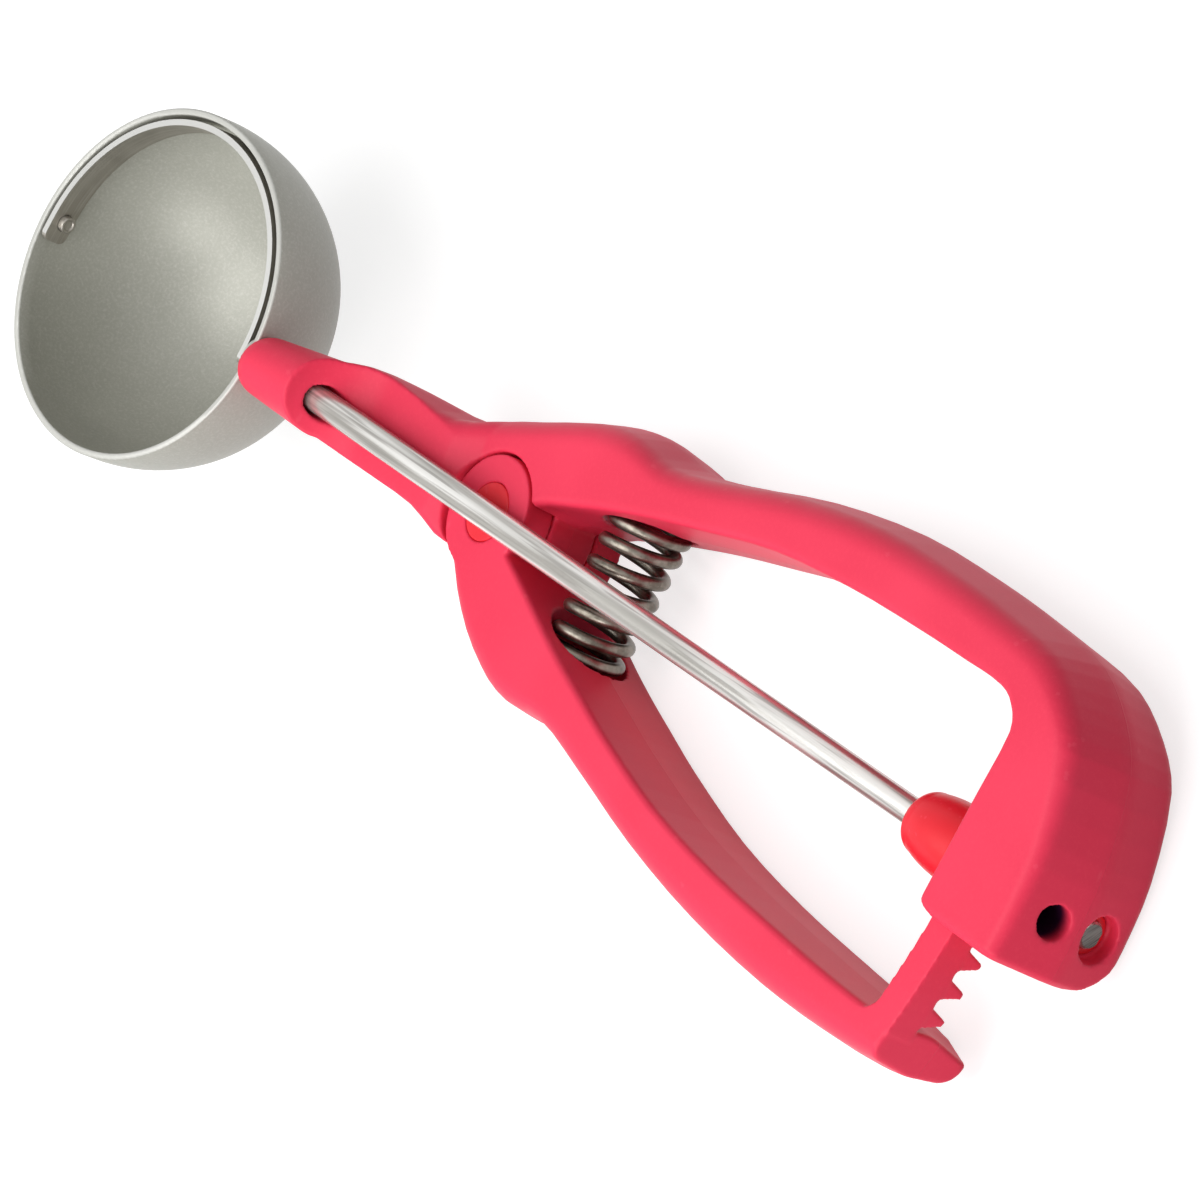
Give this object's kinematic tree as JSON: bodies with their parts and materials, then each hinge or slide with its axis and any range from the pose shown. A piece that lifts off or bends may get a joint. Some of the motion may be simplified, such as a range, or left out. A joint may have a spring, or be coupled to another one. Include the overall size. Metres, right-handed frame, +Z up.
{
  "type": "ice cream scoop",
  "caption": "Ice cream scoop with a half-round steel bowl: squeezing two sprung plastic handles drives a rack and pinion that sweeps a wiper round the bowl to free the ball.",
  "frame": {"origin": "on the pivot axis of the two handles, where the pivot pin's lower end face lies on the table", "axes": "+X along the tool from the bowl to the rear block, +Y to the handle that carries the bowl, +Z up along the pivot axis, out of the bowl's mouth side"},
  "size_m": [0.2414, 0.0635, 0.0354],
  "materials": {
    "bowl_steel": "bead blasted",
    "wiper_steel": "polished edge",
    "shaft_steel": "polished along its length",
    "handle_plastic": "satin",
    "pin_plastic": "semi gloss",
    "spring_steel": "drawn wire"
  },
  "bodies": {
    "frame": {"upper_handle": "handle_plastic", "bowl": "bowl_steel", "bowl_sleeve": "bowl_steel", "wiper_end_pin": "wiper_steel", "pivot_pin": "pin_plastic", "return_spring": "spring_steel"},
    "lever": {"lower_handle": "handle_plastic"},
    "wiper_drive": {"drive_shaft": "shaft_steel", "pinion": "pin_plastic", "wiper_blade": "wiper_steel"}
  },
  "joints": [
    {"name": "handle_squeeze", "type": "hinge", "parent": "frame", "child": "lever", "pos_m": [0, 0, 0], "axis": [0, 0, 1], "range_deg": [0, 6.2], "stiffness_Nm_per_rad": 0.7, "springref_deg": -14.32, "deforming": ["return_spring"]},
    {"name": "wiper_turn", "type": "hinge", "parent": "frame", "child": "wiper_drive", "pos_m": [0, 0, 0.0217], "axis": [0.994, 0, -0.1097], "range_deg": [-180, 0]}
  ],
  "couplings": [
    {"joint": "wiper_turn", "follows": "handle_squeeze", "ratio": -28.977}
  ]
}
